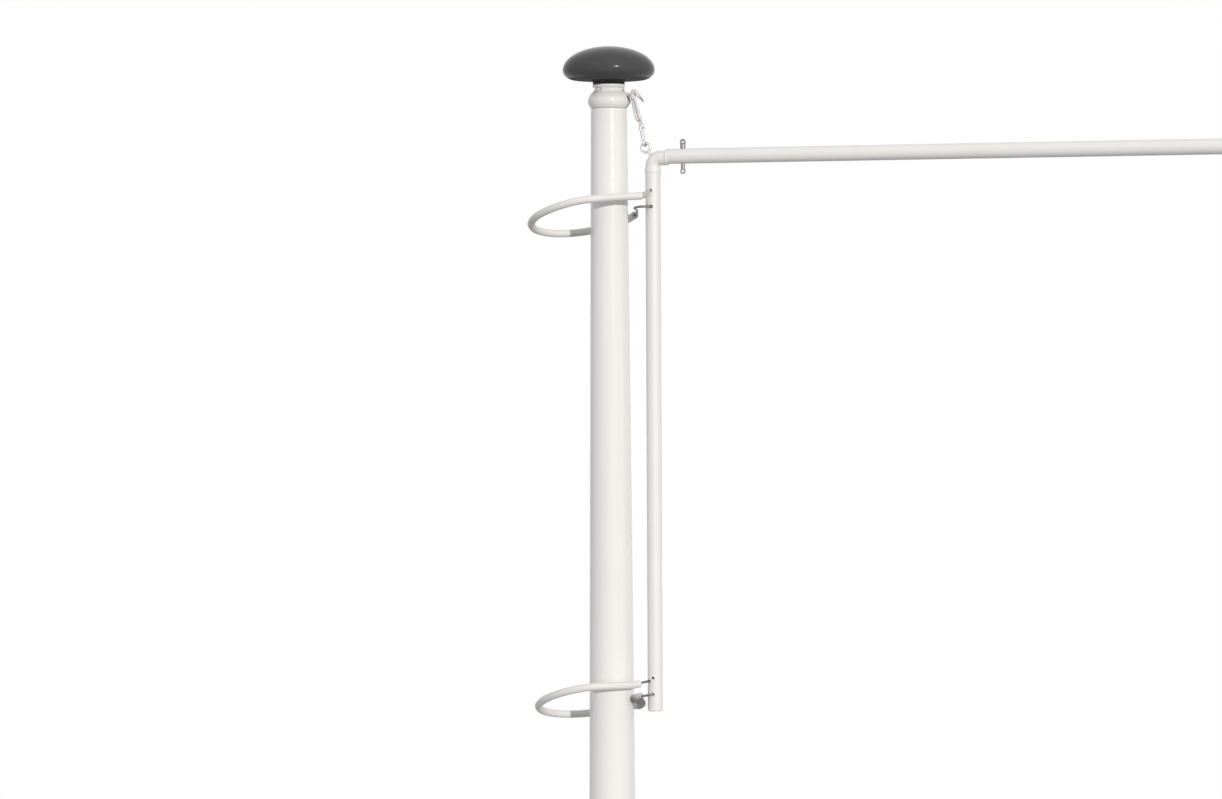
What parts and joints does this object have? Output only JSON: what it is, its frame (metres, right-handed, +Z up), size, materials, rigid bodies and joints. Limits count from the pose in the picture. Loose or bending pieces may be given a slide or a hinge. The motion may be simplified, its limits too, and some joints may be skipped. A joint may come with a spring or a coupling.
{
  "type": "conical flagpole with hoistable banner arm",
  "caption": "White conical flagpole with a mushroom cap, a turning rope head and a hoistable banner arm held to the pole by hose-covered rings.",
  "frame": {"origin": "middle of the base plate's underside, on the foundation's top", "axes": "+Z up the pole, +X along the banner arm's boom, -Y towards the hatch"},
  "size_m": [1.4276, 0.3, 6.103],
  "materials": {
    "galvanised": "hot-dip galvanised, matt spangle",
    "stainless": "polished stainless",
    "pole_gelcoat": "white gelcoat over glass fibre",
    "black_plastic": "satin nylon",
    "rope": "braided polyester",
    "head_plastic": "white moulding",
    "cap_plastic": "black gloss moulding",
    "arm_paint": "white powder coat on steel tube",
    "plug_plastic": "light grey plug",
    "ring_steel": "drawn stainless rod",
    "ring_hose": "white plastic hose"
  },
  "bodies": {
    "pole": {"base_plate": "galvanised", "base_socket": "galvanised", "foot_bolt": "stainless", "pole_shaft": "pole_gelcoat", "hatch_door": "pole_gelcoat", "halyard_cleat": "black_plastic", "halyard_inside": "rope", "pole_bush": "black_plastic"},
    "head": {"head_shell": "head_plastic", "spigot_clip": "stainless", "rope_roller": "black_plastic", "roller_pin": "stainless", "mushroom_cap": "cap_plastic", "halyard_head": "rope"},
    "arm": {"halyard_end": "rope", "hook_swivel": "stainless", "hook_body": "stainless", "hook_gate": "stainless", "eye_bolt": "stainless", "elbow": "arm_paint", "arm_tube": "arm_paint", "tube_end_plug": "plug_plastic", "boom": "arm_paint", "boom_end_plug": "plug_plastic", "boom_pin_near": "stainless", "boom_pin_far": "stainless", "ring_upper_rod": "ring_steel", "ring_upper_hose": "ring_hose", "ring_lower_rod": "ring_steel", "ring_lower_hose": "ring_hose"}
  },
  "joints": [
    {"name": "head_turn", "type": "hinge", "parent": "pole", "child": "head", "pos_m": [0, 0, 6], "axis": [0, 0, 1], "continuous": true},
    {"name": "arm_hoist", "type": "slide", "parent": "head", "child": "arm", "axis": [0.0072, 0, -1], "range_m": [0, 3.4]}
  ]
}
